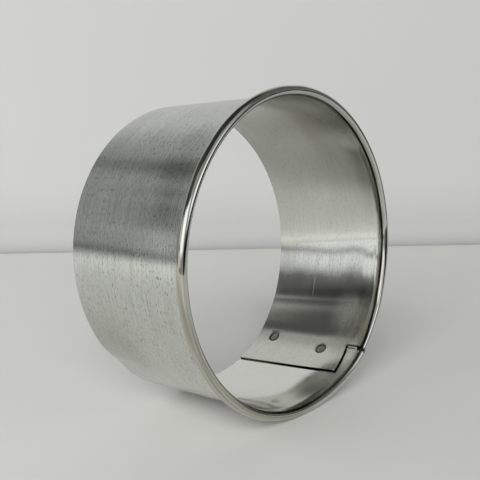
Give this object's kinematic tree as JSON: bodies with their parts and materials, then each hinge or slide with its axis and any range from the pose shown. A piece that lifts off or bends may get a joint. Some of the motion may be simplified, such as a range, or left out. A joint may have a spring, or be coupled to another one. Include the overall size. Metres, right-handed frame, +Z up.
{
  "type": "crispbread hole cutter",
  "caption": "Ring cutter of sheet steel with a plain cutting edge, a rim curled over a wire, and a spot-welded lap joint; it cuts a round of dough.",
  "frame": {"origin": "bottom centre of the bounding box, on the table that the ring lies on", "axes": "+Z up from the table; +Y from the wired rim towards the cutting edge, along the table (the ring's own axis dips 3.3 degrees below +Y, because the rim is thicker than the cutting edge); +X to the right for someone who faces the rim"},
  "size_m": [0.0876, 0.0424, 0.0825],
  "materials": {
    "rolled_steel": "rolled sheet, brushed round the ring, polished on the rim",
    "wire_steel": "drawn wire, dull",
    "weld_steel": "dished and dull where the electrodes pressed"
  },
  "bodies": {
    "root": {"band": "rolled_steel", "rim_wire": "wire_steel", "spot_weld_rim_side": "weld_steel", "spot_weld_edge_side": "weld_steel"}
  },
  "joints": []
}
